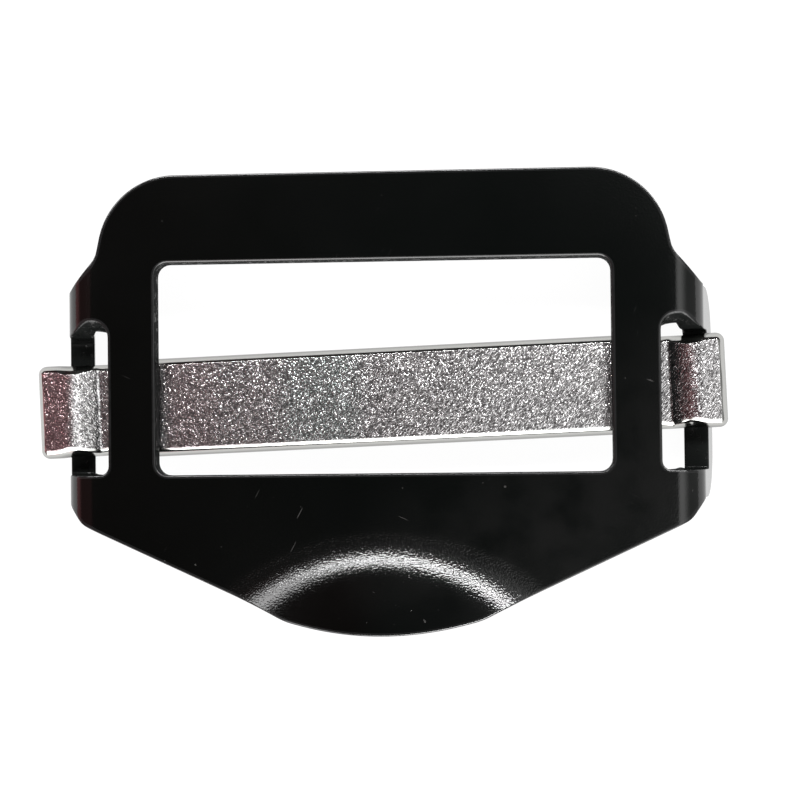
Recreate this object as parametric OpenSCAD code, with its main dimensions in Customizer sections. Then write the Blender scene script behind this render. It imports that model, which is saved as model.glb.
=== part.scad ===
// Adjuster buckle for flat webbing: a stamped steel frame with bent sides and a raised thumb lip,
// and a flat steel bar that slides in the two side slots. Millimetres. It lies on the rear edges of
// its flanges, at z = 0, with its front face up. The origin is below the middle of its outline.

/* [Webbing] */
// Width of the webbing
webbing_w = 45; // [42:1:48]
// Side play of the webbing in the opening, both sides together
webbing_play = 1.5; // [1:0.25:2.5]

/* [Frame] */
// Thickness of the frame's sheet
sheet_t = 2.5; // [2:0.1:2.5]
// Height of the opening
opening_h = 21.7; // [21:0.1:23]
// Radius of the opening's corners
opening_r = 1.3; // [0.8:0.1:2.5]
// Height of the cross member above the opening
top_bar_h = 9; // [8.5:0.1:11]
// Radius of the two upper corners
top_corner_r = 8; // [6:0.25:8]
// Width of each stile, from the opening to the side slot
stile_w = 4.85; // [4.5:0.05:5.2]
// From the opening's side to the corner line of front face and flange
flange_x = 8.85; // [8.7:0.05:9.2]
// Depth from the front face to the flanges' rear edges
frame_depth = 9.4; // [9:0.1:11]
// Angle that the flanges lean outwards from square
flange_lean = 12; // [8:1:14]
// Outer radius of the bend between front face and flange
bend_r = 3.1; // [2.9:0.1:3.5]
// Radius of the flanges' rear corners
flange_corner_r = 5; // [3:0.5:5]

/* [Side slots] */
// From the opening's middle up to the slots' top
slot_up = 5.05; // [4.9:0.05:5.5]
// How much lower the slots' top lies behind the bend than in the front face
slot_dip = 1.55; // [1:0.05:1.6]
// From the opening's middle down to the slots' bottom
slot_down = 10.75; // [10.6:0.05:11]
// Depth of the slots' floor behind the front face
slot_depth = 5.7; // [5.7:0.1:6.5]
// Radius of the slots' upper corners in the front face
slot_top_r = 1.7; // [1:0.1:2]
// Radius of the slots' lower corners in the front face
slot_bottom_r = 0.9; // [0.5:0.1:1.2]

/* [Thumb lip] */
// Angle that the lip rises from the front face
lip_angle = 28; // [15:1:32]
// Radius of the bend's front side
lip_bend_r = 8; // [5:0.5:10]
// Radius of the curved bend line, seen from the front
lip_line_r = 24.75; // [23:0.25:27]
// From the opening's middle down to the top of the bend line
lip_line_y = 17.25; // [17:0.05:18.5]

/* [Slide bar] */
// Thickness of the bar
bar_t = 2.5; // [2:0.1:2.5]
// Height of the bar between the stiles
bar_h = 10.2; // [9.8:0.1:10.4]
// Height of the bar where it crosses the slots
neck_h = 9.5; // [9:0.1:9.6]
// From the frame's corner line out to the end of the bar
bar_out = 3.3; // [3:0.05:4.5]
// Step of the two ends towards the front
step_up = 1.2; // [1:0.1:1.4]
// From the slot's inner edge to the start of each step
step_in = 1.35; // [1.2:0.05:1.5]
// Sideways length of each step
step_run = 2.4; // [2.2:0.05:2.5]
// Gap between the frame's rear face and the bar
bar_gap = 0.45; // [0.3:0.05:0.5]
// From the opening's middle down to the bar's middle
bar_drop = 2.97; // [2.7:0.01:3.3]
// Angle at which the loose bar lies in its slots
bar_tilt = 2.1; // [0:0.1:2.2]
// How far to the left of the frame's middle the loose bar lies
bar_aside = 0.5; // [0:0.1:0.6]

/* [Hidden] */
$fn = 96;
over = 20; // longer than any cut through the sheet
corner_past = 0.2; // how far an outer corner's waste reaches past the corner's sides
hair = 1.001; // arcs are a hair larger than ones that only touch, so that they cross the sides cleanly

// Main lines of the frame, from the opening's middle
half_open = (webbing_w + webbing_play) / 2;
slot_x = half_open + stile_w;
corner_x = half_open + flange_x;
reach_x = corner_x + 3; // clear of the leaning flange
top_y = opening_h / 2 + top_bar_h;
dip_depth = [0.2, 1.6]; // depths between which the slots' top slants down
ear_low = -15.8;   // lower end of the bent side
ear_high = 7.9;    // upper end of the bent side
tab_low = -13.6;   // lower end of the flange behind the bend
lip_tip_y = -26.81;
middle_y = (top_y + lip_tip_y) / 2;

// Right half of the frame's outline from the front, from the lip up to the upper corner
outline_half = [
    // x, y, corner radius
    [9.9, -25.58, 8],                           // side of the lip
    [corner_x - 1.1, ear_low, 2.5],             // end of the slanted lower edge
    [corner_x + 0.55, tab_low - 0.1, 0],        // from here to the ear, clear of the flange behind
    [reach_x, tab_low - 0.4, 0],
    [reach_x, ear_high + 0.4, 0],
    [corner_x + 0.5, ear_high + 0.1, 1.2],      // upper end of the bent side
    [corner_x - 2.75, ear_high + 3.55, 2.5],    // foot of the upper corner
    [corner_x - 4.45, top_y, top_corner_r],
];
lip_corner = [0, -27.74, 38]; // where the lip's two sides would meet below its rounded edge
outline = concat([lip_corner], outline_half, mirrored(outline_half));

// Shape of the lip's section
lip_length = 9.5; // along its slope, longer than the outline leaves of it
lip_root = 0.5;   // flat strip outside the bend line that joins the front plate

// Shape of the bar's outline and of its steps
shoulder_start = half_open + 1;
shoulder_end = half_open + 2.5;
shoulder_r = 0.6;
bar_end_x = corner_x + bar_out;
bar_end_r = 0.9;
step_x = slot_x + step_in;
step_bend_r = 0.8;

// The same rows on the other side, in the order that closes the outline
function mirrored(rows) = [for (i = [len(rows) - 1 : -1 : 0]) [-rows[i][0], rows[i][1], rows[i][2]]];
// Rows of a rectangle from its low and high corners, with a radius for its low and its high side
function box_rows(low, high, low_r, high_r) = [
    [low[0], low[1], low_r], [high[0], low[1], low_r], [high[0], high[1], high_r], [low[0], high[1], high_r]
];
function spot(row) = [row[0], row[1]];
function before(rows, i) = spot(rows[(i + len(rows) - 1) % len(rows)]);
function after(rows, i) = spot(rows[(i + 1) % len(rows)]);
function way(from, to) = (to - from) / norm(to - from);
function turn_between(u, v) = atan2(u[0] * v[1] - u[1] * v[0], u * v);
// How far the outline turns at corner i: left turns are positive
function turn(rows, i) = turn_between(way(before(rows, i), spot(rows[i])), way(spot(rows[i]), after(rows, i)));
// From corner i to the two points where its arc touches the sides
function cut_back(rows, i) = rows[i][2] * tan(abs(turn(rows, i)) / 2);
function arc_start(rows, i) = spot(rows[i]) - way(before(rows, i), spot(rows[i])) * cut_back(rows, i);
function arc_end(rows, i) = spot(rows[i]) + way(spot(rows[i]), after(rows, i)) * cut_back(rows, i);
function arc_centre(rows, i) =
    let (inwards = way(spot(rows[i]), (arc_start(rows, i) + arc_end(rows, i)) / 2))
    spot(rows[i]) + inwards * rows[i][2] / cos(turn(rows, i) / 2);

// What an outer corner loses to its rounding, a little past the corner's two sides
module corner_waste(rows, i) {
    centre = arc_centre(rows, i);
    start = arc_start(rows, i) - centre;
    end = arc_end(rows, i) - centre;
    past = 1 + corner_past / rows[i][2];
    translate(centre) difference() {
        polygon([0.9 * start, past * start, past * (spot(rows[i]) - centre), past * end, 0.9 * end]);
        circle(hair * rows[i][2]);
    }
}

// A closed outline, counter-clockwise, with a true arc at each row that has a radius. An inner
// corner is cut off straight at first, and its circle then hollows it out
module rounded(rows) {
    corners = [for (i = [0 : len(rows) - 1]) if (rows[i][2] > 0) i];
    difference() {
        polygon([for (i = [0 : len(rows) - 1])
            each rows[i][2] > 0 && turn(rows, i) < 0 ? [arc_start(rows, i), arc_end(rows, i)] : [spot(rows[i])]]);
        for (i = corners)
            if (turn(rows, i) > 0) corner_waste(rows, i);
            else translate(arc_centre(rows, i)) circle(hair * rows[i][2]);
    }
}

// Carries a shape drawn from the front right through the sheet
module through() {
    translate([0, 0, -over]) linear_extrude(2 * over) children();
}

// Stands an x-z profile up and carries it along y
module along_y(length) {
    translate([0, length / 2, 0]) rotate([90, 0, 0]) linear_extrude(length) children();
}

// Stands a y-z profile up and carries it along x
module along_x(length) {
    translate([-length / 2, 0, 0]) rotate([90, 0, 90]) linear_extrude(length) children();
}

// Cross-section of the sheet through both flanges, front face at z = 0
module folded_sheet() {
    drop = frame_depth + 2;
    spread = drop * tan(flange_lean);
    wall = sheet_t / cos(flange_lean);
    inner_x = corner_x - wall + sheet_t * tan(flange_lean);
    inner_r = bend_r - sheet_t;
    right = [
        [corner_x + spread - wall, -drop, 0],
        [corner_x + spread, -drop, 0],
        [corner_x, 0, bend_r],
    ];
    rounded(concat(right, mirrored(right), [[-inner_x, -sheet_t, inner_r], [inner_x, -sheet_t, inner_r]]));
}

// The sides seen along x: the whole height in front, a tab with round corners behind
module flange_side() {
    union() {
        translate([-3 * over, -sheet_t]) square([6 * over, 2 * over]);
        rounded(box_rows([tab_low, -frame_depth], [ear_high, 0], flange_corner_r, 0));
    }
}

// The lip as a ring about the centre of its curved bend line
module lip_ring() {
    front = lip_line_r - lip_bend_r * tan(lip_angle / 2);
    rear = front - sheet_t * tan(lip_angle / 2);
    tip = [front - lip_length * cos(lip_angle), lip_length * sin(lip_angle)];
    down = [-sheet_t * sin(lip_angle), -sheet_t * cos(lip_angle)];
    rotate_extrude() rounded([
        [lip_line_r + lip_root, -sheet_t, 0],
        [lip_line_r + lip_root, 0, 0],
        [front, 0, lip_bend_r],
        [tip[0], tip[1], 0],
        [tip[0] + down[0], tip[1] + down[1], 0],
        [rear, -sheet_t, lip_bend_r + sheet_t],
    ]);
}

// The slot on the right: open from the front face round the bend, down to its floor in the flange
module slot_cut() {
    slant = slot_dip / (dip_depth[1] - dip_depth[0]);
    intersection() {
        through() rounded(box_rows([slot_x, -slot_down], [slot_x + over, slot_up], slot_bottom_r, slot_top_r));
        along_x(8 * over)
            rounded([
                [-slot_down, over, 0],
                [-slot_down, -slot_depth, slot_bottom_r / 2],
                [slot_up - slot_dip, -slot_depth, slot_top_r / 2],
                [slot_up - slot_dip, -dip_depth[1], 0.9],
                [slot_up + slant * (over + dip_depth[0]), over, 0],
            ]);
    }
}

// The bent sheet with its lip set in, then the opening and both slots cut through it
module frame() {
    lip_centre = [0, -lip_line_y - lip_line_r, 0];
    color([0.07, 0.07, 0.075]) translate([bar_aside, -middle_y, frame_depth]) difference() {
        intersection() {
            union() {
                difference() {
                    intersection() {
                        along_y(6 * over) folded_sheet();
                        along_x(6 * over) flange_side();
                    }
                    translate(lip_centre) through() circle(lip_line_r + lip_root / 2);
                }
                translate(lip_centre) lip_ring();
            }
            through() rounded(outline);
        }
        through() rounded(box_rows([-half_open, -opening_h / 2], [half_open, opening_h / 2], opening_r, opening_r));
        slot_cut();
        mirror([1, 0, 0]) slot_cut();
    }
}

// Section along the bar, front face of its middle at z = 0, with both ends stepped forwards
module bar_side() {
    slope = atan2(step_up, step_run);
    shift = bar_t * tan(slope / 2);
    half = [
        [step_x + shift, -bar_t, step_bend_r + bar_t],
        [step_x + shift + step_run, step_up - bar_t, step_bend_r],
        [bar_end_x + 1, step_up - bar_t, 0],
        [bar_end_x + 1, step_up, 0],
        [step_x + step_run, step_up, step_bend_r + bar_t],
        [step_x, 0, step_bend_r],
    ];
    rounded(concat(half, mirrored(half)));
}

// The bar from the front: high between the stiles, narrower through the slots, round at its ends
module bar_front() {
    half = [
        [shoulder_start, -bar_h / 2, shoulder_r],
        [shoulder_end, -neck_h / 2, shoulder_r],
        [bar_end_x, -neck_h / 2, bar_end_r],
        [bar_end_x, neck_h / 2, bar_end_r],
        [shoulder_end, neck_h / 2, shoulder_r],
        [shoulder_start, bar_h / 2, shoulder_r],
    ];
    rounded(concat(half, mirrored(half)));
}

// Behind the stiles, at the height and angle at which it lies in the slots
module slide_bar() {
    face_z = frame_depth - sheet_t - bar_gap;
    color([0.72, 0.72, 0.73]) translate([0, -bar_drop - middle_y, face_z]) rotate([0, 0, bar_tilt])
        intersection() {
            along_y(2 * over) bar_side();
            through() bar_front();
        }
}

frame();
slide_bar();
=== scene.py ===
# %% [markdown]
# # An adjuster buckle in pressed steel
# The real object has two pieces. The frame is one black sheet with a webbing opening, two sides
# bent back, a slot round each bend and a thumb lip pressed up at its lower edge. The slide bar is
# a flat plated strip whose ends step forwards through the slots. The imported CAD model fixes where
# everything is, and here each solid gets a mesh of the same piece with the edges, the swollen bends
# and the finish that the solids leave out. All sizes below are in millimetres.

from math import radians, sin, cos, tan

import bpy
import numpy as np
from mathutils import Matrix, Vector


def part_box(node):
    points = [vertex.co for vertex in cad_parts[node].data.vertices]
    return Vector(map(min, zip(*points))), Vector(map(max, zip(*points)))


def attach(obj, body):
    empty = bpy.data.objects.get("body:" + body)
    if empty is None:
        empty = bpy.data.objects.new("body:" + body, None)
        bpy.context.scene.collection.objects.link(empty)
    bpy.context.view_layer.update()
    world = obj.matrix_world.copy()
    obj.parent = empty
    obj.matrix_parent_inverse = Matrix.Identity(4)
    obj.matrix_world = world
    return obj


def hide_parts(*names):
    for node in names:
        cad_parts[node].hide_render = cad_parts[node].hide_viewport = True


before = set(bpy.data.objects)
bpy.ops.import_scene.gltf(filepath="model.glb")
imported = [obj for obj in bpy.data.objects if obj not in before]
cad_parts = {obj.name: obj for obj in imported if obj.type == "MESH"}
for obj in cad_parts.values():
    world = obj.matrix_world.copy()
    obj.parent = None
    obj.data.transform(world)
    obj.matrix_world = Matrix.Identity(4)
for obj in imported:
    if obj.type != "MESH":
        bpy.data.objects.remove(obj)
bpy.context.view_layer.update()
MM = 0.001

# %% [markdown]
# ## Where the blanks lie
# A sheet part is easiest to describe flat, as the blank that the press cut out. A point of the
# blank has three numbers: `p` across, `y` up and `w` down through the thickness. `p` and `y` start
# at the middle of the webbing opening. Two functions later fold the blanks into their real shape,
# and one offset then moves them from the opening's middle to the CAD model's origin.

# %% The main lines, the same as in the CAD source
SHEET = 2.5
OPENING = np.array([23.25, 10.85])
OPENING_R = 1.3
SLOT_IN, SLOT_LOW, SLOT_HIGH, SLOT_DEPTH = 28.1, -10.75, 5.05, 5.7
SLOT_LOW_R, SLOT_HIGH_R, SLOT_DIP = 0.9, 1.7, 1.55
CORNER_X, BEND_R, LEAN, DEPTH = 32.1, 3.1, radians(12), 9.4
TAB_LOW, TAB_HIGH, TAB_R = -13.6, 7.9, 5.0
LIP_LINE_Y, LIP_LINE_R, LIP_BEND_R, LIP_ANGLE = -17.25, 24.75, 8.0, radians(28)
TO_ORIGIN = np.array([0.5, 3.48, DEPTH])

# %% [markdown]
# ## The outline of the blank
# The outline is a list of corners, each with the radius that rounds it, as on a drawing. Bevelling
# a polygon in Blender would do it too, but an array of arc points can be measured, cut into a lower
# and an upper edge, and used as a function that gives the edge's height at any place across.


# %% Corners with radii become arcs
def rounded_line(rows, per_arc=25):
    """A closed line through rows of x, y and corner radius, counter-clockwise.

    An arc of radius r that turns by an angle t starts r tan(t / 2) before its corner, and its
    points are the arm from the arc's centre to that start, turned by equal shares of t."""
    rows = np.asarray(rows, float)
    spots, r = rows[:, :2], rows[:, 2]
    back = spots - np.roll(spots, 1, axis=0)
    ahead = np.roll(spots, -1, axis=0) - spots
    back /= np.linalg.norm(back, axis=1)[:, None]
    ahead /= np.linalg.norm(ahead, axis=1)[:, None]
    cross = back[:, 0] * ahead[:, 1] - back[:, 1] * ahead[:, 0]
    turn = np.arctan2(cross, (back * ahead).sum(axis=1))
    start = spots - back * (r * np.abs(np.tan(turn / 2)))[:, None]
    arm = np.stack([back[:, 1], -back[:, 0]], axis=1) * (r * np.sign(turn))[:, None]
    centre = start - arm
    share = turn[:, None] * np.linspace(0, 1, per_arc)
    x = centre[:, :1] + arm[:, :1] * np.cos(share) - arm[:, 1:] * np.sin(share)
    y = centre[:, 1:] + arm[:, :1] * np.sin(share) + arm[:, 1:] * np.cos(share)
    return np.stack([x, y], axis=-1).reshape(-1, 2)


OUTLINE_RIGHT = [
    [9.9, -25.58, 8.0],
    [31.0, -15.8, 2.5],
    [32.65, -13.7, 0.0],
    [35.1, -14.0, 0.0],
    [35.1, 8.3, 0.0],
    [32.6, 8.0, 1.2],
    [29.35, 11.45, 2.5],
    [27.65, 19.85, 8.0],
]
OUTLINE_LEFT = [[-x, y, r] for x, y, r in reversed(OUTLINE_RIGHT)]
outline = rounded_line([[0.0, -27.74, 38.0]] + OUTLINE_RIGHT + OUTLINE_LEFT)
right_side = outline[outline[:, 0] >= 0]
lower_edge = right_side[right_side[:, 1] < 0]
upper_edge = right_side[right_side[:, 1] > 0]
lower_edge = lower_edge[np.argsort(lower_edge[:, 0], kind="stable")]
upper_edge = upper_edge[np.argsort(upper_edge[:, 0], kind="stable")]
print("outline points:", len(outline), "lowest:", outline[:, 1].min().round(2))

# %% [markdown]
# ## Folding the frame's blank
# The sides are bent back round a tight radius, and the thumb lip is pressed up along a curved line.
# A lattice or a Simple Deform modifier could bend a flat mesh, but neither follows a given inner
# and outer radius. Here each bend is worked out: a point goes round the bend's centre by the angle
# that its distance along the middle of the sheet gives, so the sheet keeps its thickness.

# %% Lengths along the middle of the bent side
BEND_ANGLE = radians(90) - LEAN
BEND_X = CORNER_X - BEND_R * tan(BEND_ANGLE / 2)
BEND_MID_R = BEND_R - SHEET / 2
BEND_P = BEND_X + BEND_MID_R * BEND_ANGLE
LEG_START_Z = -BEND_R + (BEND_R - SHEET / 2) * cos(BEND_ANGLE)
LEG_LENGTH = (DEPTH + LEG_START_Z) / cos(LEAN)
BLANK_P = BEND_P + LEG_LENGTH
SLOT_OUT = BEND_P + (SLOT_DEPTH + LEG_START_Z) / cos(LEAN)
print("bend from", round(BEND_X, 2), "to", round(BEND_P, 2))
print("slot ends", round(SLOT_OUT, 2), "blank ends", round(BLANK_P, 2))


# %% From the blank to the folded frame
def fold_side(p, w):
    """Across and height of a point of the bent side.

    Up to the bend, across is p and the height is minus the depth w. Round the bend, the point is
    R - w from the bend's centre, at an angle of its distance past the bend line over the middle
    radius. On the leg it lies between the bend's end and the level rear edge, in equal shares."""
    reach = np.abs(p)
    angle = np.clip((reach - BEND_X) / BEND_MID_R, 0, BEND_ANGLE)
    share = (reach - BEND_P) / LEG_LENGTH
    x = np.minimum(reach, BEND_X) + (BEND_R - w) * np.sin(angle)
    z = -BEND_R + (BEND_R - w) * np.cos(angle)
    end_x = CORNER_X + DEPTH * tan(LEAN) - w / cos(LEAN)
    on_leg = share > 0
    x = np.where(on_leg, x + share * (end_x - x), x)
    z = np.where(on_leg, z + share * (-DEPTH - z), z)
    return np.sign(p) * x, z


def press_lip(x, y, z, w):
    """Lifts what lies inside the lip's curved bend line, and moves nothing sideways.

    The distance t inside the line, measured towards the line's centre, has risen by
    R - sqrt(R R - t t) round the bend. Past the bend's end it rises by the lip's slope, and the
    depth counts along the upright, so it is divided by the cosine of the slope."""
    t = np.maximum(LIP_LINE_R - np.hypot(x, y - LIP_LINE_Y + LIP_LINE_R), 0)
    bent = np.minimum(t, LIP_BEND_R * sin(LIP_ANGLE))
    level = np.sqrt(LIP_BEND_R**2 - bent**2) / LIP_BEND_R
    return z + w + LIP_BEND_R * (1 - level) + (t - bent) * tan(LIP_ANGLE) - w / level


def fold_frame(p, y, w, swell):
    """A point of the frame's blank in its folded place. The bend squeezes metal out of the edges
    on its inner side: the first swell moves them along y by the square of the depth, and a little
    the other way at the front face. The second one lets a wall lean, most of it near the front:
    its share is 1 less the third power of what is left of the depth."""
    deep = w / SHEET
    y = y + swell[:, 0] * (deep**2 - 0.15 * (1 - deep)) + swell[:, 1] * (1 - (1 - deep) ** 3)
    x, z = fold_side(p, w)
    z = press_lip(x, y, z, w)
    return (np.stack([x, y, z], axis=-1) + TO_ORIGIN) * MM


def front_x(p):
    """Across of a point of the front face, seen from the front."""
    return fold_side(p, np.zeros_like(p))[0]


# %% [markdown]
# ## A pressed sheet as one closed mesh
# A cut sheet has a front face, a rear face and an edge all round each opening, and the edges are
# rounded a little by the die and by tumbling. Solidify and Bevel would build that from a flat
# face, but they leave thin triangles at the corners. Instead, one grid of columns and rows serves
# both faces, its openings are left out, and a rounded edge profile is carried along each border.
# All borders share their points with the faces, so the shell closes. The mesh also keeps three
# marks for the finishes: where an edge is rounded, where the press cut, and where it stretched.


# %% Borders of a grid and their outward directions
def ring(columns, rows, count):
    """Grid numbers round a rectangle of columns and rows, counter-clockwise."""
    (a, b), (c, d) = columns, rows
    i = np.concatenate([np.arange(a, b), np.full(d - c, b), np.arange(b, a, -1), np.full(d - c, a)])
    j = np.concatenate([np.full(b - a, c), np.arange(c, d), np.full(b - a, d), np.arange(d, c, -1)])
    return i * count + j


def outward(p, y):
    """Unit directions that point away from the metal along a closed border: the mean of the two
    neighbouring sides' directions, turned clockwise."""
    side = np.stack([np.roll(p, -1) - p, np.roll(y, -1) - y], axis=1)
    side /= np.maximum(np.linalg.norm(side, axis=1), 1e-9)[:, None]
    way = side + np.roll(side, 1, axis=0)
    way /= np.linalg.norm(way, axis=1)[:, None]
    return way[:, 1], -way[:, 0]


def drop_in(distance, r):
    """How far a face of edge radius r has fallen at a distance from the edge: r minus the height
    of a quarter circle, and nothing beyond r."""
    inside = np.clip(r - distance, 0, r)
    return r - np.sqrt(r * r - inside * inside)


# %% The sheet itself
ARC_STEPS = 6
FIRST_STEP = 0.015  # share of the way out at which the rounded edge begins, just off the grid
WORN_FALL = 0.03  # a face that has fallen this far looks like an edge
WORN_DOWN = 0.6  # how far down the wall that look fades out


def pressed_sheet(name, p, y, holes, place, inset, front_edge, rear_r, swell, strain, wall_steps=4):
    """A closed mesh from one grid of blank points, p and y by column and row.

    The grid ends `inset` short of every border. From there the profile goes out and down as
    front_edge says, straight down the wall, and back in round a quarter circle of rear_r. place
    gives the folded place of blank points. front_edge holds, for every border, how deep the front
    face has fallen at a distance from it, then how wide the widest fall is, and how far from the
    border the look of its side begins."""
    columns, rows = p.shape
    keep = np.ones((columns - 1, rows - 1), bool)
    loops = [ring((0, columns - 1), (0, rows - 1), rows)]
    for (a, b), (c, d) in holes:
        keep[a:b, c:d] = False
        loops.append(ring((a, b), (c, d), rows)[::-1])
    corner = (np.arange(columns - 1)[:, None] * rows + np.arange(rows - 1))[keep]
    front = np.stack([corner, corner + rows, corner + rows + 1, corner + 1], axis=1)
    size = p.size
    flat_p, flat_y, flat_swell = p.ravel(), y.ravel(), swell.reshape(size, -1)

    ways = [outward(flat_p[loop], flat_y[loop]) for loop in loops]
    falls, width, side_width = front_edge
    turned = np.pi / 2 * np.arange(1, ARC_STEPS + 1) / ARC_STEPS
    reached = np.concatenate([[FIRST_STEP], np.sin(turned)])
    depth = np.zeros(size)
    if width > inset:
        border = np.stack([flat_p[loops[0]], flat_y[loops[0]]], axis=1)
        apart = np.hypot(flat_p[:, None] - border[:, 0], flat_y[:, None] - border[:, 1])
        near = apart.argmin(axis=1)
        depth = falls[0](apart.min(axis=1) + inset, ways[0][0][near], ways[0][1][near])

    points = [
        place(flat_p, flat_y, depth, flat_swell),
        place(flat_p, flat_y, np.full(size, SHEET), flat_swell),
    ]
    edge, cut = [np.clip(depth / WORN_FALL, 0, 1), np.zeros(size)], [np.zeros(2 * size)]
    stretched = [strain.ravel(), strain.ravel()]
    quads = [front, front[:, ::-1] + size]
    made = 2 * size
    for loop, (out_p, out_y), fall in zip(loops, ways, falls):
        left = inset * (1 - reached)
        round_edge = fall(left[None, :], out_p[:, None], out_y[:, None])
        low = round_edge[:, -1:]
        wall = low + (SHEET - rear_r - low) * np.arange(1, wall_steps + 1) / wall_steps
        back = turned[None, :-1] + 0 * low
        rear = inset - rear_r * (1 - np.cos(back))
        out = np.concatenate([inset - left + 0 * low, inset + 0 * wall, rear], axis=1)
        down = np.concatenate([round_edge, wall, SHEET - rear_r * (1 - np.sin(back))], axis=1)
        steps = out.shape[1]
        points.append(
            place(
                (flat_p[loop][:, None] + out_p[:, None] * out).ravel(),
                (flat_y[loop][:, None] + out_y[:, None] * out).ravel(),
                down.ravel(),
                np.repeat(flat_swell[loop], steps, axis=0),
            )
        )
        stretched.append(np.repeat(strain.ravel()[loop], steps))
        edge.append((1 - np.clip((down - low) / WORN_DOWN, 0, 1)).ravel())
        inwards = np.concatenate([left, np.zeros(steps - len(left))]) + 0 * down
        cut.append(np.clip(1 - inwards / side_width, 0, 1).ravel())
        body = made + np.arange(len(loop))[:, None] * steps + np.arange(steps)
        strips = np.concatenate([loop[:, None], body, loop[:, None] + size], axis=1)
        after = np.roll(strips, -1, axis=0)
        sides = [after[:, :-1], strips[:, :-1], strips[:, 1:], after[:, 1:]]
        quads.append(np.stack(sides, axis=-1).reshape(-1, 4))
        made += body.size
    points, quads = np.concatenate(points), np.concatenate(quads)
    used, where = np.unique(quads, return_inverse=True)
    marks = {"edge": edge, "strain": stretched, "cut": cut}
    marks = {mark: np.concatenate(numbers)[used] for mark, numbers in marks.items()}
    return surface(name, points[used], where.reshape(-1, 4), marks)


def surface(name, points, quads, marks):
    """An object at the origin with these points and four-sided faces, smooth shaded. Each mark is
    a number for every point that a finish can read: edge is 1 on the rounded outer edges, cut is
    1 on the walls that the press left, and strain is 1 where the press stretched the sheet."""
    mesh = bpy.data.meshes.new(name)
    mesh.vertices.add(len(points))
    mesh.vertices.foreach_set("co", points.ravel())
    mesh.loops.add(quads.size)
    mesh.loops.foreach_set("vertex_index", quads.ravel().astype(np.int32))
    mesh.polygons.add(len(quads))
    mesh.polygons.foreach_set("loop_start", np.arange(0, quads.size, 4, dtype=np.int32))
    mesh.polygons.foreach_set("use_smooth", np.ones(len(quads), bool))
    for mark, numbers in marks.items():
        attribute = mesh.attributes.new(mark, "FLOAT", "POINT")
        attribute.data.foreach_set("value", numbers.astype(np.float32))
    mesh.update(calc_edges=True)
    mesh.validate()
    piece = bpy.data.objects.new(name, mesh)
    bpy.context.scene.collection.objects.link(piece)
    low, high = points.min(axis=0) / MM, points.max(axis=0) / MM
    print(name, "triangles:", 2 * len(quads), "box in mm:", low.round(2), high.round(2))
    return piece


# %% [markdown]
# ## The frame's grid
# The columns crowd where the outline or a slot's corner turns, and lie wide apart on flat metal.
# Four levels run across all columns: the lower edge, the lower and upper edge of the openings, and
# the upper edge. Between two openings the levels just carry on, so that every column has the same
# rows, and the pressed lip gets rows close enough for a smooth highlight. Subdividing a coarse cage
# would round the slots' corners too, which have radii of their own.


# %% Levels across the frame
FRAME_EDGE = 0.3
quarter = np.linspace(0, np.pi / 2, 13)
tab_arc = BLANK_P - TAB_R + TAB_R * np.sin(np.linspace(0, np.pi / 2, 60))
dense = np.concatenate([np.linspace(0, BLANK_P - TAB_R, 1200)[:-1], tab_arc])
tab_in = np.clip(dense - (BLANK_P - TAB_R), 0, TAB_R)
tab_fall = TAB_R - np.sqrt(TAB_R**2 - tab_in**2)
on_leg = dense > BEND_P
low_line = np.interp(front_x(dense), *lower_edge.T)
high_line = np.interp(front_x(dense), *upper_edge.T)
low_line = np.where(on_leg, np.maximum(low_line, TAB_LOW) + tab_fall, low_line)
high_line = np.where(on_leg, np.minimum(high_line, TAB_HIGH) - tab_fall, high_line)


def inner_line(p, y, side):
    """The line moved towards the metal by the edge's width, at right angles to itself."""
    dp, dy = np.gradient(p), np.gradient(y)
    length = np.hypot(dp, dy)
    return p - side * FRAME_EDGE * dy / length, y + side * FRAME_EDGE * dp / length


def opening_line(p, ends, level, radii, side):
    """Height of an opening's edge at p: its level, less a quarter circle at each end."""
    fall = sum(drop_in(np.abs(p - end), r) * (np.abs(p - end) <= r) for end, r in zip(ends, radii))
    return level - side * fall


# %% Columns and rows of the frame
open_end, open_y, open_r = OPENING[0] + FRAME_EDGE, OPENING[1] + FRAME_EDGE, OPENING_R + FRAME_EDGE
slot_a, slot_b = SLOT_IN - FRAME_EDGE, SLOT_OUT + FRAME_EDGE
slot_lo, slot_hi = SLOT_LOW - FRAME_EDGE, SLOT_HIGH + FRAME_EDGE
low_r = (SLOT_LOW_R + FRAME_EDGE, SLOT_LOW_R / 4 + FRAME_EDGE)
high_r = (SLOT_HIGH_R + FRAME_EDGE, SLOT_HIGH_R / 2 + FRAME_EDGE)
last = BLANK_P - FRAME_EDGE
fixed = np.array([0, open_end, slot_a, slot_b, last])
wanted = np.concatenate(
    [
        np.arange(0, 22, 0.4),
        np.arange(24, BEND_X, 0.22),
        open_end - open_r * (1 - np.sin(quarter[::2])),
        [open_end + 0.15, slot_a - 0.15, slot_b + 0.15, last - 0.12],
        slot_a + low_r[0] * (1 - np.cos(quarter[::2])),
        slot_a + high_r[0] * (1 - np.cos(quarter)),
        np.linspace(BEND_X, BEND_P, 22),
        np.linspace(BEND_P, slot_b, 7),
        slot_b - high_r[1] * (1 - np.sin(quarter[::2])),
        last - (TAB_R - FRAME_EDGE) * (1 - np.sin(np.linspace(0, np.pi / 2, 18))),
    ]
)
wanted = wanted[np.abs(wanted[:, None] - fixed).min(axis=1) > 0.035]
half = np.sort(np.concatenate([fixed, wanted]))
half = half[np.concatenate([[True], (np.diff(half) > 0.03) | np.isin(half[1:], fixed)])]
columns = np.concatenate([-half[:0:-1], half])
across = np.abs(columns)

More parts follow.
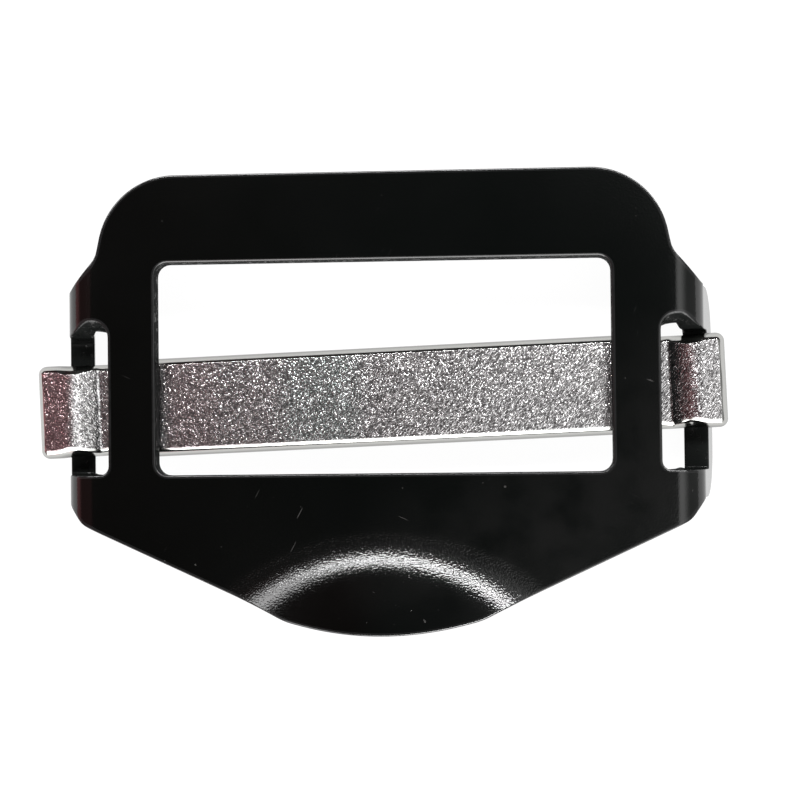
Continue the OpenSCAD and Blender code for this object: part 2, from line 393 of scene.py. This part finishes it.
level_0 = np.interp(across, *inner_line(dense, low_line, 1))
level_3 = np.interp(across, *inner_line(dense, high_line, -1))
in_open, in_slot = across <= open_end, (across >= slot_a) & (across <= slot_b)
knots = [open_end, slot_a, slot_b, last]
level_1 = np.interp(across, knots, [-open_y + open_r, slot_lo + low_r[0], slot_lo + low_r[1], -6.0])
level_2 = np.interp(across, knots, [open_y - open_r, slot_hi - high_r[0], slot_hi - high_r[1], 0.6])
level_1 = np.where(in_open, opening_line(across, [open_end], -open_y, [open_r], -1), level_1)
level_2 = np.where(in_open, opening_line(across, [open_end], open_y, [open_r], 1), level_2)
level_1 = np.where(in_slot, opening_line(across, [slot_a, slot_b], slot_lo, low_r, -1), level_1)
slot_top = opening_line(across, [slot_a, slot_b], slot_hi, high_r, 1)
fallen = -fold_side(across, np.zeros_like(across))[1]
DIP_START, DIP_REACH, DIP_POWER = 0.05, 0.85, 1.3  # how soon the slot's top falls off behind
dip = 1 - np.exp(-((np.maximum(fallen - DIP_START, 0) / DIP_REACH) ** DIP_POWER))
level_2 = np.where(in_slot, slot_top, level_2) - SLOT_DIP * dip * (across >= slot_a)


def rows_between(low, high, count):
    """Rows from one level to the next: a first and a last one 0.15 mm from the borders, and even
    shares of the rest between them."""
    share = np.linspace(0, 1, count)
    inner = low[:, None] + 0.15 + (high - low - 0.3)[:, None] * share
    return np.concatenate([low[:, None], inner, high[:, None]], axis=1)


lower_rows = rows_between(level_0, level_1, 58)
middle_rows = rows_between(level_1, level_2, 14)
upper_rows = rows_between(level_2, level_3, 16)
frame_y = np.concatenate([lower_rows[:, :-1], middle_rows[:, :-1], upper_rows], axis=1)
frame_p = np.repeat(columns[:, None], frame_y.shape[1], axis=1)
print("frame grid:", frame_y.shape)

# %% [markdown]
# ## Where the press moved metal
# A tight bend squeezes metal out sideways on its inner side, which shows as a small bulge where the
# bend meets the outline or a slot, and the punch drags the slot's upper wall along. A sculpting
# brush could add both, but sums of smooth bumps keep their size in millimetres.

# %% How far the bend swells the edges
SQUEEZED, SQUEEZED_SLOT = 0.3, 0.25
LEAN_MOST, LEAN_LEAST, LEAN_LOSS = 0.95, 0.05, 0.56  # how far the slot's upper wall leans
BEND_MIDDLE = (BEND_X + BEND_P) / 2
squeezed = np.exp(-(((across - BEND_MIDDLE) / 1.3) ** 2))[:, None]
slot_near = in_slot[:, None].astype(float)


def near(line, reach):
    """1 on a level of the grid, and less away from it over this reach."""
    return np.exp(-np.abs(frame_y - line[:, None]) / reach)


swell = squeezed * (
    SQUEEZED * near(level_3, 0.9)
    - SQUEEZED * near(level_0, 0.9)
    + slot_near * SQUEEZED_SLOT * near(level_1, 0.8) * (frame_y <= level_1[:, None])
)
top_lean = np.clip(LEAN_MOST - LEAN_LOSS * (slot_hi - slot_top), LEAN_LEAST, LEAN_MOST)
top_lean = top_lean * (1 - dip) * in_slot
lean = -top_lean[:, None] * near(level_2, 0.9) * (frame_y >= level_2[:, None])
swell = np.stack([swell, lean], axis=-1)

# %% Where the press stretched the sheet
in_lip = LIP_LINE_R - np.hypot(front_x(frame_p), frame_y - LIP_LINE_Y + LIP_LINE_R)
lip_bend = np.exp(-(((in_lip - 1.9) / 2.4) ** 4))
side_bend = np.exp(-(((np.abs(frame_p) - BEND_MIDDLE) / 1.8) ** 4))
strain = np.maximum(lip_bend, 0.35 * side_bend)

# %% Build the frame
at = {round(float(c), 6): i for i, c in enumerate(columns)}
row_1, row_2 = lower_rows.shape[1] - 1, lower_rows.shape[1] + middle_rows.shape[1] - 2
spans = [(-open_end, open_end), (slot_a, slot_b), (-slot_b, -slot_a)]
holes = [((at[round(a, 6)], at[round(b, 6)]), (row_1, row_2)) for a, b in spans]


OUTER_R, OPENING_EDGE_R, RUBBED_R, SLOT_R, REAR_R, CUT_WIDTH = 0.09, 0.11, 0.16, 0.13, 0.25, 0.06


def outer_edge(distance, out_p, out_y):
    """A small quarter circle, whatever the border's direction."""
    return drop_in(np.minimum(distance, OUTER_R), OUTER_R) + 0 * out_p


def opening_edge(distance, out_p, out_y):
    """A quarter circle that is widest where the webbing rubs: on the metal above the opening."""
    radius = OPENING_EDGE_R + RUBBED_R * np.maximum(-out_y, 0) ** 2
    return drop_in(np.minimum(distance + 0 * radius, radius), radius)


def slot_edge(distance, out_p, out_y):
    """A quarter circle a little wider than the outer one."""
    return drop_in(np.minimum(distance, SLOT_R), SLOT_R) + 0 * out_p


frame_edges = ([outer_edge, opening_edge, slot_edge, slot_edge], FRAME_EDGE, CUT_WIDTH)
frame_piece = pressed_sheet(
    "black_frame", frame_p, frame_y, holes, fold_frame, FRAME_EDGE, frame_edges, REAR_R, swell, strain
)

# %% [markdown]
# ## The slide bar
# The bar is a rolled strip, so its two long edges are rounded, the lower one most, and its ends are
# sheared and stepped forwards with two small bends. A curve with a bevelled profile would give the
# steps, but not the shoulders and the differing edges. So it is the same kind of sheet as the
# frame, with a straight outline and another fold: here the angle along the strip is a function of
# the distance from its middle, and the place is that angle's running sum.

# %% The strip's path through its two bends
STEP_X, STEP_RUN, STEP_UP, STEP_R = 29.45, 2.4, 1.2, 0.8
BAR_END, BAR_HALF_H, NECK_HALF_H, END_HALF_H, BAR_END_R = 35.4, 5.1, 4.75, 4.82, 0.9
BAR_GAP, BAR_DROP, BAR_TILT, BAR_ASIDE = 0.45, 2.97, radians(2.1), 0.5
STEPS_ASIDE, STEPS_FROM = 0.29, 20  # both ends lie this far to the right, from here outwards
slope = np.arctan2(STEP_UP, STEP_RUN)
step_mid_r = STEP_R + SHEET / 2
kink = STEP_X + SHEET / 2 * tan(slope / 2)
touch = step_mid_r * tan(slope / 2)
ramp = np.hypot(STEP_RUN, STEP_UP) - 2 * touch
stops = np.cumsum([kink - touch, step_mid_r * slope, ramp, step_mid_r * slope])
BAR_P = stops[-1] + BAR_END - (kink + STEP_RUN + touch)
along = np.linspace(0, BAR_P + 1, 8001)
bend_at = np.interp(along, stops, [0, slope, slope, 0])
step = along[1] - along[0]
run = np.concatenate([[0], np.cumsum(np.cos((bend_at[1:] + bend_at[:-1]) / 2))]) * step
rise = np.concatenate([[0], np.cumsum(np.sin((bend_at[1:] + bend_at[:-1]) / 2))]) * step
print("strip bends at", stops.round(2), "half length", round(BAR_P, 2), "rise", rise[-1].round(2))


# %% From the straight strip to the bar in its slots
def fold_bar(p, y, w, swell):
    """A point of the strip in its stepped place: the middle line's place at p, moved by half the
    thickness less w along the line's upward normal, then turned by the bar's loose angle. The
    front face pulls its edges in by the swell outside a bend and pushes them out inside it. That
    fades to a tenth half-way down, because the slots' walls leave the rear no room."""
    aside = STEPS_ASIDE * (np.abs(p) > STEPS_FROM)
    reach = np.abs(p - aside)
    angle = np.interp(reach, along, bend_at)
    lift = SHEET / 2 - w
    x = np.sign(p) * (np.interp(reach, along, run) - lift * np.sin(angle)) + aside
    z = np.interp(reach, along, rise) - SHEET / 2 + lift * np.cos(angle)
    y = y + swell[:, 0] * np.maximum(1 - 2 * w / SHEET, 0.1)
    turned_x = x * cos(BAR_TILT) - y * sin(BAR_TILT) - BAR_ASIDE
    turned_y = x * sin(BAR_TILT) + y * cos(BAR_TILT) - BAR_DROP
    return (np.stack([turned_x, turned_y, z - SHEET - BAR_GAP], axis=-1) + TO_ORIGIN) * MM


# %% The bar's grid
BAR_EDGE = 0.53
bar_last = BAR_P - BAR_EDGE
end_r = BAR_END_R - BAR_EDGE
bar_half = np.unique(
    np.concatenate(
        [
            np.linspace(0, 24, 46),
            np.linspace(24, 26.2, 9),
            np.linspace(26.2, stops[0] - 0.3, 5),
            np.linspace(stops[0] - 0.3, stops[3] + 0.3, 52),
            np.linspace(stops[3] + 0.3, bar_last - end_r, 6),
            bar_last - end_r * (1 - np.sin(np.linspace(0, np.pi / 2, 8))),
        ]
    ).round(4)
)
bar_half = bar_half[np.concatenate([[True], np.diff(bar_half) > 0.01])]
bar_columns = np.concatenate([-bar_half[:0:-1], bar_half])
bar_across = np.abs(bar_columns)
shoulder = np.clip((bar_across - 24.25) / 1.5, 0, 1)
shoulder = shoulder**2 * (3 - 2 * shoulder)
flare = np.clip((bar_across - stops[2]) / 1.5, 0, 1)
half_height = BAR_HALF_H + (NECK_HALF_H - BAR_HALF_H) * shoulder
half_height = half_height + (END_HALF_H - NECK_HALF_H) * flare - BAR_EDGE
half_height = half_height - drop_in(bar_last - bar_across, end_r) * (bar_across > bar_last - end_r)
bar_y = rows_between(-half_height, half_height, 34)
# Extra rows follow the rolled lower edge, and lie on both sides of the upper edge's crease
lower_rows_at = half_height[:, None] - np.array([0.04, 0.10, 0.16, 0.22, 0.28, 0.34, 0.40, 0.48])
upper_rows_at = half_height[:, None] - np.array([0.04, 0.09, 0.18, 0.212, 0.222, 0.235, 0.25])
bar_y = np.sort(np.concatenate([bar_y, -lower_rows_at, upper_rows_at], axis=1), axis=1)
bar_p = np.repeat(bar_columns[:, None], bar_y.shape[1], axis=1)

VALLEY_OUT, RIDGE_IN, SWELL_HALF = 0.22, 0.32, 0.9
ridge, valley = (stops[2] + stops[3]) / 2, (stops[0] + stops[1]) / 2
pull = VALLEY_OUT * np.exp(-(((bar_across - valley) / SWELL_HALF) ** 2))
pull = pull - RIDGE_IN * np.exp(-(((bar_across - ridge) / SWELL_HALF) ** 2))
bar_swell = pull[:, None] * np.sign(bar_y) * np.exp(-(half_height[:, None] - np.abs(bar_y)) / 1.0)


ROLLER_R, CREASE_AT, ROLLED_AT, ROLLED_FALL, ROLLED_FROM = 1.5, 0.75, 0.52, 0.12, 0.90
# The last number: how far in from the border the bar's painted wall shade reaches
BAR_REAR_R, BAR_SHAPED, BAR_WALL_SHADE_WIDTH = 0.45, 1.0, 0.22


def strip_edge(distance, out_p, out_y):
    """How deep the strip's face has fallen near its border. On the upper edge and the ends, a
    circle of 1.5 mm begins at a slope of 30 degrees, with a crease. On the lower edge the rollers
    first bend the face down by 20 degrees over a third of a millimetre, and such a circle follows."""
    fall = drop_in(distance, ROLLER_R)
    crease = fall - drop_in(CREASE_AT, ROLLER_R)
    rolled = fall - drop_in(ROLLED_AT, ROLLER_R) + ROLLED_FALL
    gentle = np.clip((ROLLED_FROM - distance) / (ROLLED_FROM - ROLLED_AT), 0, 1)
    rolled = np.where(distance < ROLLED_AT, rolled, ROLLED_FALL * gentle**1.4)
    lower = np.maximum(-out_y, 0) ** 4
    return np.maximum(crease, 0) * (1 - lower) + rolled * lower


# %% Build the bar
bar_edges = ([strip_edge], BAR_SHAPED, BAR_WALL_SHADE_WIDTH)
unstretched = np.zeros_like(bar_p)
bar_piece = pressed_sheet(
    "plated_bar", bar_p, bar_y, [], fold_bar, BAR_EDGE, bar_edges, BAR_REAR_R, bar_swell, unstretched
)

# %% [markdown]
# ## Writing finishes as sums
# A finish is a net of shader nodes, and most of its nodes only add, multiply or compare numbers.
# Wiring each of them by hand hides the idea. A small class that stands for one output socket lets
# Python's own operators add those nodes, so a finish reads like the sum that it is.


# %% A value that changes over a surface
class Value:
    """One output socket. A sum, product or power of it adds the node that works it out."""

    def __init__(self, finish, socket):
        self.finish, self.socket = finish, socket

    def __add__(self, other):
        return self.finish.maths("ADD", self, other)

    def __sub__(self, other):
        return self.finish.maths("SUBTRACT", self, other)

    def __rsub__(self, other):
        return self.finish.maths("SUBTRACT", other, self)

    def __mul__(self, other):
        return self.finish.maths("MULTIPLY", self, other)

    def __pow__(self, other):
        return self.finish.maths("POWER", self, other)

    __radd__, __rmul__ = __add__, __mul__


class Net:
    """A tree of shader nodes that grows as sums are written."""

    def __init__(self, tree):
        self.tree = tree

    def add(self, kind, settings=None, sockets=None, out=0):
        """A node of a kind, with its settings made first and then its sockets set or linked."""
        node = self.tree.nodes.new(kind)
        for name, setting in (settings or {}).items():
            setattr(node, name, setting)
        for name, source in (sockets or {}).items():
            if isinstance(source, Value):
                self.tree.links.new(source.socket, node.inputs[name])
            else:
                node.inputs[name].default_value = source
        return Value(self, node.outputs[out])

    def maths(self, operation, a, b):
        """A node for one operation on two numbers or sockets."""
        return self.add("ShaderNodeMath", {"operation": operation}, {0: a, 1: b})

    def between(self, value, low, high):
        """0 below low, 1 above high and smooth between them."""
        sockets = {"Value": value, "From Min": low, "From Max": high}
        return self.add("ShaderNodeMapRange", {"interpolation_type": "SMOOTHSTEP"}, sockets)

    def mix(self, share, first, second):
        """Mixes two colours by a share."""
        sockets = {0: share, 6: first, 7: second}
        return self.add("ShaderNodeMix", {"data_type": "RGBA"}, sockets, out=2)


class Finish(Net):
    """A material and the nodes that make it."""

    def __init__(self, name, **constants):
        self.material = bpy.data.materials.new(name)
        self.material.use_nodes = True
        super().__init__(self.material.node_tree)
        self.shader = self.tree.nodes["Principled BSDF"]
        for socket, number in constants.items():
            self.shader.inputs[socket.replace("_", " ")].default_value = number
        self.place = self.add("ShaderNodeTexCoord", out="Object")

    def noise(self, size, detail=2.0, place=None):
        """Cloudy noise whose grains are about `size` millimetres wide."""
        sockets = {"Vector": place or self.place, "Scale": 1 / (size * MM)}
        sockets.update({"Detail": detail, "Roughness": 0.5})
        return self.add("ShaderNodeTexNoise", None, sockets)

    def grains(self, size, output, place):
        """Grains about `size` millimetres wide: the distance to a grain's middle, or a random
        colour for each grain."""
        sockets = {"Vector": place, "Scale": 1 / (size * MM)}
        return self.add("ShaderNodeTexVoronoi", None, sockets, out=output)

    def turned(self, angle, stretch):
        """Object coordinates turned about z and drawn out along the turned x axis."""
        sockets = {"Vector": self.place, "Rotation": (0, 0, radians(angle)), "Scale": (stretch, 1, 1)}
        return self.add("ShaderNodeMapping", {"vector_type": "TEXTURE"}, sockets)

    def axis(self, letter):
        """The object coordinate X or Y, in metres."""
        return self.add("ShaderNodeSeparateXYZ", None, {0: self.place}, out=letter)

    def attribute(self, name):
        """A mark that the mesh holds for every point."""
        return self.add("ShaderNodeAttribute", {"attribute_name": name}, out="Fac")

    def set(self, **sources):
        """Links values to the shader's sockets of these names."""
        for socket, source in sources.items():
            self.tree.links.new(source.socket, self.shader.inputs[socket.replace("_", " ")])

    def dull(self, share, colour, roughness):
        """Mixes in a dull surface of this colour where the share is 1."""
        sockets = {"Base Color": colour, "Roughness": roughness, "Specular IOR Level": 0.0}
        other = self.add("ShaderNodeBsdfPrincipled", None, sockets)
        shaders = {0: share, 1: Value(self, self.shader.outputs[0]), 2: other}
        both = self.add("ShaderNodeMixShader", None, shaders)
        self.tree.links.new(both.socket, self.tree.nodes["Material Output"].inputs["Surface"])

    def bump(self, height, micrometres):
        """Normal of a surface whose height changes by this many micrometres."""
        sockets = {"Height": height, "Strength": 1.0, "Distance": micrometres * 1e-6}
        self.set(Normal=self.add("ShaderNodeBump", None, sockets))


# %% [markdown]
# ## The black coat
# The frame carries a glossy black stoved coat. Its face looks flat and nearly black, and only the
# bends catch a light, which breaks up into fine grains: the coat's orange peel. A bump of two
# noises, 0.21 and 0.14 mm wide, gives that where the sheet is bent or cut, and is ten times weaker
# on the flat. An image of grain would do it too, but couldn't follow the mesh's marks. The walls
# that the press cut are rough, so the coat lies dull on them: a second, matt surface is mixed in
# there, less so in the patches where the metal tore. The rounded edges are a little greyer where
# they rubbed on other parts, hands left a faint haze near the lower edge, and a few hair scratches
# and specks lie on the face.

# %% Grain, scratches and wear
DEEP_BLACK, PALE_BLACK = (0.0003, 0.0006, 0.0005, 1), (0.0009, 0.0012, 0.0011, 1)
HAZE, DULL_BLACK = (0.0036, 0.0037, 0.0036, 1), (0.006, 0.0066, 0.0064, 1)
RUBBED_GREY, MARK_GREY = (0.035, 0.035, 0.036, 1), (0.08, 0.078, 0.075, 1)
DULL_ROUGHNESS = 0.6
SCRATCH_LOW, SCRATCH_HIGH = 0.84, 0.90  # only the highest peaks of a drawn-out noise are scratches
PEEL_MICROMETRES = 31.0

coat = Finish("black_coat", Metallic=0.0, IOR=1.55)
peel = coat.noise(0.21, detail=1.0)
grain = coat.noise(0.14, detail=0.0)
cloud = coat.noise(9.0, detail=3.0)
punched = coat.attribute("cut")
stretched = coat.attribute("strain")
rubbed = coat.between(coat.attribute("edge") * 0.75 + coat.noise(1.1, detail=3.0) * 0.5, 0.72, 1.05)
steep_marks = coat.noise(0.14, detail=0.0, place=coat.turned(62, 22))
flat_marks = coat.noise(0.16, detail=0.0, place=coat.turned(-24, 18))
steep_marks = coat.between(steep_marks, SCRATCH_LOW, SCRATCH_HIGH)
flat_marks = coat.between(flat_marks, SCRATCH_LOW, SCRATCH_HIGH)
patches = coat.between(coat.noise(7.0, detail=1.0), 0.50, 0.62)
scratches = (steep_marks + flat_marks) * patches
specks = coat.between(coat.noise(0.45, detail=0.0), 0.83, 0.88) * patches
marks = coat.between(scratches + specks * 0.8, 0.0, 1.0)
x, y = coat.axis("X"), coat.axis("Y")
# Hands hold the buckle at its lower right: the haze grows that way, and stops above the lip's tip
handled = coat.between(x * 0.6 - y * 0.8, 0.006, 0.022) * coat.between(y, -0.023, -0.018)
handled = handled * coat.between(coat.noise(6.0, detail=4.0), 0.30, 0.62)

# %% Black coat
black = coat.mix(cloud, DEEP_BLACK, PALE_BLACK)
black = coat.mix(handled * 0.9, black, HAZE)
black = coat.mix(rubbed * 0.2, black, RUBBED_GREY)
black = coat.mix(marks * 0.3, black, MARK_GREY)
coat.set(Base_Color=black)
coat.set(Roughness=0.09 + cloud * 0.02 + stretched * 0.055 + marks * 0.12 + punched * 0.07)
torn = coat.between(coat.noise(0.5), 0.56, 0.64)
coat.dull(punched * (0.95 - torn * 0.3), DULL_BLACK, DULL_ROUGHNESS)
grained = coat.between(stretched + punched, 0.0, 1.0) * 0.9 + 0.1
coat.bump((peel * 0.5 + grain * 0.5 - 0.5) * grained - scratches * 0.10, PEEL_MICROMETRES)
print("black coat nodes:", len(coat.tree.nodes))

# %% [markdown]
# ## The plated strip
# The bar is bright plated over a strip that was never polished. Its face is a field of single grains
# an eighth of a millimetre wide, each a small dome whose colour is painted bright or dark: painted
# sparkle and painted shade, in place of the glints and dark facets that each grain's tilt would give.
# The rolled edges are smooth and shine as lines. Smooth noise looks like worms at this size, so the
# grains are the cells of a Voronoi pattern. The rollers drew them out a little, along lines that
# curve over the length of the bar. A painted reflection of reddish surroundings lies over the left
# end and one patch, and a faint green tint over another. The walls and the outer part of the rounded
# edges are painted darker: painted shade, where they would mirror the shaded floor next to the bar.

# %% Drawn-out grains, painted sparkle, a painted red reflection and a green tint
GRAIN_WIDTH = 0.13
# Painted sparkle and painted shade: the darkest and the brightest colour that a grain is painted
PAINTED_DARK_FACET, PAINTED_GLINT = (0.11, 0.106, 0.109, 1), (0.86, 0.85, 0.86, 1)
GREY_CLOUD, EDGE_METAL = (0.40, 0.385, 0.375, 1), (0.47, 0.47, 0.455, 1)
# Painted shade for the bar's walls and the outer part of its rounded edges
PAINTED_WALL_SHADE = (0.09, 0.09, 0.088, 1)
# The first: a painted reflection of reddish surroundings; the second: a faint green tint
PAINTED_RED_REFLECTION, GREEN_TINT = (0.52, 0.20, 0.23, 1), (0.30, 0.50, 0.46, 1)
DOME_MICROMETRES = 33.5

plate = Finish("plated_steel", Metallic=1.0)
x, y = plate.axis("X"), plate.axis("Y")
# The grains' rows lie along a parabola: they slope down at the left and up at the right
along_bar = {"X": x * 0.72, "Y": y - x * (x * 10.7 + 0.21)}
drawn_out = plate.add("ShaderNodeCombineXYZ", None, along_bar)
fine = plate.noise(0.12, detail=1.0, place=drawn_out)
domes = plate.grains(GRAIN_WIDTH, "Distance", drawn_out)
painted_sparkle = plate.grains(GRAIN_WIDTH, "Color", drawn_out)
tone = plate.noise(5.0)
on_face = 1 - plate.between(plate.attribute("edge"), 0.0, 0.5)
# A painted red reflection lies over the left end and round one patch, a green tint round another; they
# fade out 4 and 5.5 mm from the patches' middles
red_reflection_end = plate.between(0 - x, 0.0314, 0.0326)
red_reflection_patch = 1 - plate.between((x + 0.0200) * (x + 0.0200) * 1e6, 1.0, 16.0)
green_patch = 1 - plate.between((x + 0.0062) * (x + 0.0062) * 1e6, 2.0, 30.0)

# %% Plated steel
# Painted sparkle: each grain's colour is set bright or dark at random, in place of the glints and
# shaded facets its tilt would give
metal = plate.mix(plate.between(painted_sparkle, 0.1, 0.9), PAINTED_DARK_FACET, PAINTED_GLINT)
metal = plate.mix(tone * 0.3, metal, GREY_CLOUD)
# Painted reflection: the reddish surroundings, mirrored in the left end and in a patch left of the
# middle
metal = plate.mix(red_reflection_end * 0.40 + red_reflection_patch * 0.08, metal, PAINTED_RED_REFLECTION)
metal = plate.mix(green_patch * 0.16, metal, GREEN_TINT)
metal = plate.mix(1 - on_face, metal, EDGE_METAL)
# Painted shade: the walls and the outer 0.22 mm of the rounded edges are darker, where they would
# mirror the shaded floor next to the bar
metal = plate.mix(plate.attribute("cut") * 0.85, metal, PAINTED_WALL_SHADE)
plate.set(Base_Color=metal)
plate.set(Roughness=0.11 + on_face * 0.05)
plate.bump((fine * 0.5 - domes * 0.5) * on_face, DOME_MICROMETRES)
print("plated steel nodes:", len(plate.tree.nodes))

# %% [markdown]
# ## Put the pieces on the frame
# Each piece stands for its CAD solid and rides on that solid's body, so the bar slides with its
# joint. The CAD solids stay in the physics model.

# %% Riding and replacing
for piece, node, slot, finish in (
    (frame_piece, "frame", "black_coat", coat),
    (bar_piece, "slide_bar", "plated_steel", plate),
):
    piece.data.materials.append(finish.material)
    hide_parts(node)
    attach(piece, node)
    low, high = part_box(node)
    print(node, "solid's box in mm:", [round(c / MM, 2) for c in low], [round(c / MM, 2) for c in high])

# %% [markdown]
# ## The floor
# The buckle lies on a plain pale surface. It glows evenly, so that hardly a shadow falls on it and
# the openings show clean white. A plain white floor would need so much light from above that the
# black face turned grey.

# %% Floor
FLOOR_HALF, FLOOR_GLOW = 1.5, 0.96
corners = [(-1, -1), (1, -1), (1, 1), (-1, 1)]
floor_mesh = bpy.data.meshes.new("floor")
floor_mesh.from_pydata([(FLOOR_HALF * a, FLOOR_HALF * b, 0) for a, b in corners], [], [(0, 1, 2, 3)])
floor = bpy.data.objects.new("floor", floor_mesh)
bpy.context.scene.collection.objects.link(floor)
glow = {"Emission_Color": (1, 1, 1, 1), "Emission_Strength": FLOOR_GLOW}
paper = Finish("pale_floor", Roughness=0.85, Specular_IOR_Level=0.2, **glow)
shade = paper.mix(paper.noise(60.0), (0.05, 0.05, 0.05, 1), (0.06, 0.06, 0.06, 1))
paper.set(Base_Color=shade)
floor.data.materials.append(paper.material)
print("floor:", 2 * FLOOR_HALF, "m wide")

# %% [markdown]
# ## The room
# Black gloss and plating show their shapes only by what they reflect, so what stands round the
# buckle matters more than the lamps. The room is written as brightness over directions, where a
# picture of a studio would hide the reasons. It is dark straight above, where the camera stands,
# pale on the right, dark beyond the buckle's upper edge, faintly red on the left, and pale low down
# on the near side, which the bar's lower edge mirrors.

# %% Room
REDDISH, NEUTRAL = (1.0, 0.42, 0.44, 1), (1.0, 1.0, 0.99, 1)
world = bpy.data.worlds.new("room")
bpy.context.scene.world = world
world.use_nodes = True
room = Net(world.node_tree)
direction = room.add("ShaderNodeTexCoord", out="Generated")
right = room.add("ShaderNodeSeparateXYZ", None, {0: direction}, out="X")
back = room.add("ShaderNodeSeparateXYZ", None, {0: direction}, out="Y")
# The dark hood is an oval round the camera, wider across than up
away = ((right + 0.12) * 0.62) ** 2.0 + (back - 0.03) ** 2.0
hood = room.between(away**0.5, 0.145, 0.21)
# The right side is pale up to a limit, and everything beyond the upper edge is dark
sides = room.between(right - back * 0.6, -0.14, 0.32) * 1.45
sides = sides * (1 - room.between(right, 0.36, 0.80) * 0.88) + 0.13
beyond = 1 - room.between(back, 0.17, 0.33) * 0.98
# Two low bands: one on the far left, and a bright one on the near side, not on its flanks
left_low = room.between(0 - right, 0.92, 0.99) * 0.6
near_low = room.between(0 - back, 0.50, 0.68) * (1 - room.between(0 - back, 0.92, 0.97)) * 5.5
near_low = near_low * (1 - room.between(right * right, 0.12, 0.30))
bright = hood * (sides * beyond + left_low + near_low) + 0.035
tint = room.mix(room.between(right, -0.30, 0.0) + near_low, REDDISH, NEUTRAL)
room.tree.links.new(tint.socket, world.node_tree.nodes["Background"].inputs["Color"])
room.tree.links.new(bright.socket, world.node_tree.nodes["Background"].inputs["Strength"])
print("room nodes:", len(room.tree.nodes))

# %% [markdown]
# ## The lamps
# One long soft lamp stands beyond the upper edge, where the lip's hollow bend finds it and turns it
# into the curved light on the black face. Two weaker ones fill in the left side and the near side.
# A lamp is given by how bright it looks, because a reflection shows that and not its power.


# %% Lamps
def lamp(name, sideways, upwards, distance, size, radiance):
    """A soft rectangular lamp that looks at the buckle from angles in degrees off straight above.
    Its power is pi times its area times the radiance, which is how bright it looks."""
    light = bpy.data.lights.new(name, "AREA")
    light.shape, light.size, light.size_y = "RECTANGLE", size[0], size[1]
    light.energy = float(np.pi * size[0] * size[1] * radiance)
    way = np.array([tan(radians(sideways)), tan(radians(upwards)), 1.0])
    way /= np.linalg.norm(way)
    side = np.cross([0, 1, 0], way)
    side /= np.linalg.norm(side)
    turn = Matrix(np.stack([side, np.cross(way, side), way], axis=1).tolist()).to_4x4()
    stand = bpy.data.objects.new(name, light)
    stand.matrix_world = Matrix.Translation((way * distance).tolist()) @ turn
    bpy.context.scene.collection.objects.link(stand)
    print(name, "gives", round(light.energy, 2), "W")


lamp("window", 12, 29, 0.60, (0.62, 0.070), 38)
lamp("curtained_window", -33, 27, 0.68, (0.26, 0.20), 8)
lamp("pale_wall", 0, -30, 0.70, (0.95, 0.26), 1.7)

# %% [markdown]
# ## The photo's camera
# The camera's place and turn were fitted to the photo's straight edges: it stands 19 cm above the
# floor, a little to the right, and looks nearly straight down. Tracking it to a target would give
# the direction, but not the small turn in the picture's plane.

# %% Camera
CAMERA_AT = np.array([13.74, -3.81, 189.4]) * MM
TURN_X, TURN_Y, TURN_Z = -0.02147, -0.06336, 0.01254
turns = [Matrix.Rotation(*turn) for turn in ((TURN_Z, 3, "Z"), (TURN_Y, 3, "Y"), (TURN_X, 3, "X"))]
view = turns[0] @ turns[1] @ turns[2]
camera = bpy.data.objects.new("camera", bpy.data.cameras.new("camera"))
bpy.context.scene.collection.objects.link(camera)
camera.data.lens, camera.data.sensor_width = 80.29, 36.0
camera.data.clip_start, camera.data.clip_end = 0.01, 20
camera.matrix_world = Matrix.Translation(CAMERA_AT.tolist()) @ view.transposed().to_4x4()
bpy.context.scene.camera = camera
bpy.context.scene.view_settings.view_transform = "Standard"
print("camera at", (CAMERA_AT / MM).round(2), "mm")
